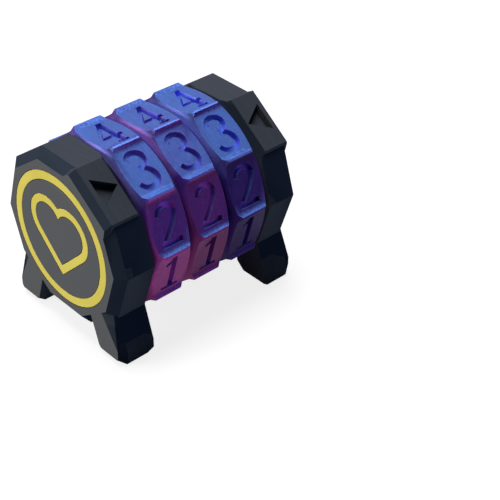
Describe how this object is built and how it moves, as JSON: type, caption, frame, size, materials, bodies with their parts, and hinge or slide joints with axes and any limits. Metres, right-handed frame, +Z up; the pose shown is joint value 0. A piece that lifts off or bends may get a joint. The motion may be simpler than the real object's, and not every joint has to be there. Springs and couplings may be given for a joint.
{
  "type": "life counter",
  "caption": "Dial-type life counter: numbered rings click round side by side on a fixed core between two footed, ten-sided end caps with arrow pads.",
  "frame": {"origin": "middle of the footprint, on the plane that the four soles stand on", "axes": "+X along the barrel towards the right cap, -Y towards the side with the arrows, +Z up"},
  "size_m": [0.0624, 0.0526, 0.0547],
  "materials": {
    "cap_plastic": "matte, fine print lines",
    "inlay_plastic": "matte, fine print lines",
    "ring_plastic": "silky blue to magenta, two colours in one strand",
    "core_plastic": "matte",
    "leaf_plastic": "matte"
  },
  "bodies": {
    "base": {"left_cap": "cap_plastic", "right_cap": "cap_plastic", "left_band_inlay": "inlay_plastic", "right_band_inlay": "inlay_plastic", "left_heart_inlay": "inlay_plastic", "right_heart_inlay": "inlay_plastic", "core": "core_plastic", "left_click_leaf": "leaf_plastic", "middle_click_leaf": "leaf_plastic", "right_click_leaf": "leaf_plastic"},
    "left_dial": {"left_ring": "ring_plastic"},
    "middle_dial": {"middle_ring": "ring_plastic"},
    "right_dial": {"right_ring": "ring_plastic"}
  },
  "joints": [
    {"name": "left_ring_turn", "type": "hinge", "parent": "base", "child": "left_dial", "pos_m": [-0.0134, 0, 0.0292], "axis": [1, 0, 0], "continuous": true, "deforming": ["left_click_leaf"]},
    {"name": "middle_ring_turn", "type": "hinge", "parent": "base", "child": "middle_dial", "pos_m": [0, 0, 0.0292], "axis": [1, 0, 0], "continuous": true, "deforming": ["middle_click_leaf"]},
    {"name": "right_ring_turn", "type": "hinge", "parent": "base", "child": "right_dial", "pos_m": [0.0134, 0, 0.0292], "axis": [1, 0, 0], "continuous": true, "deforming": ["right_click_leaf"]}
  ]
}
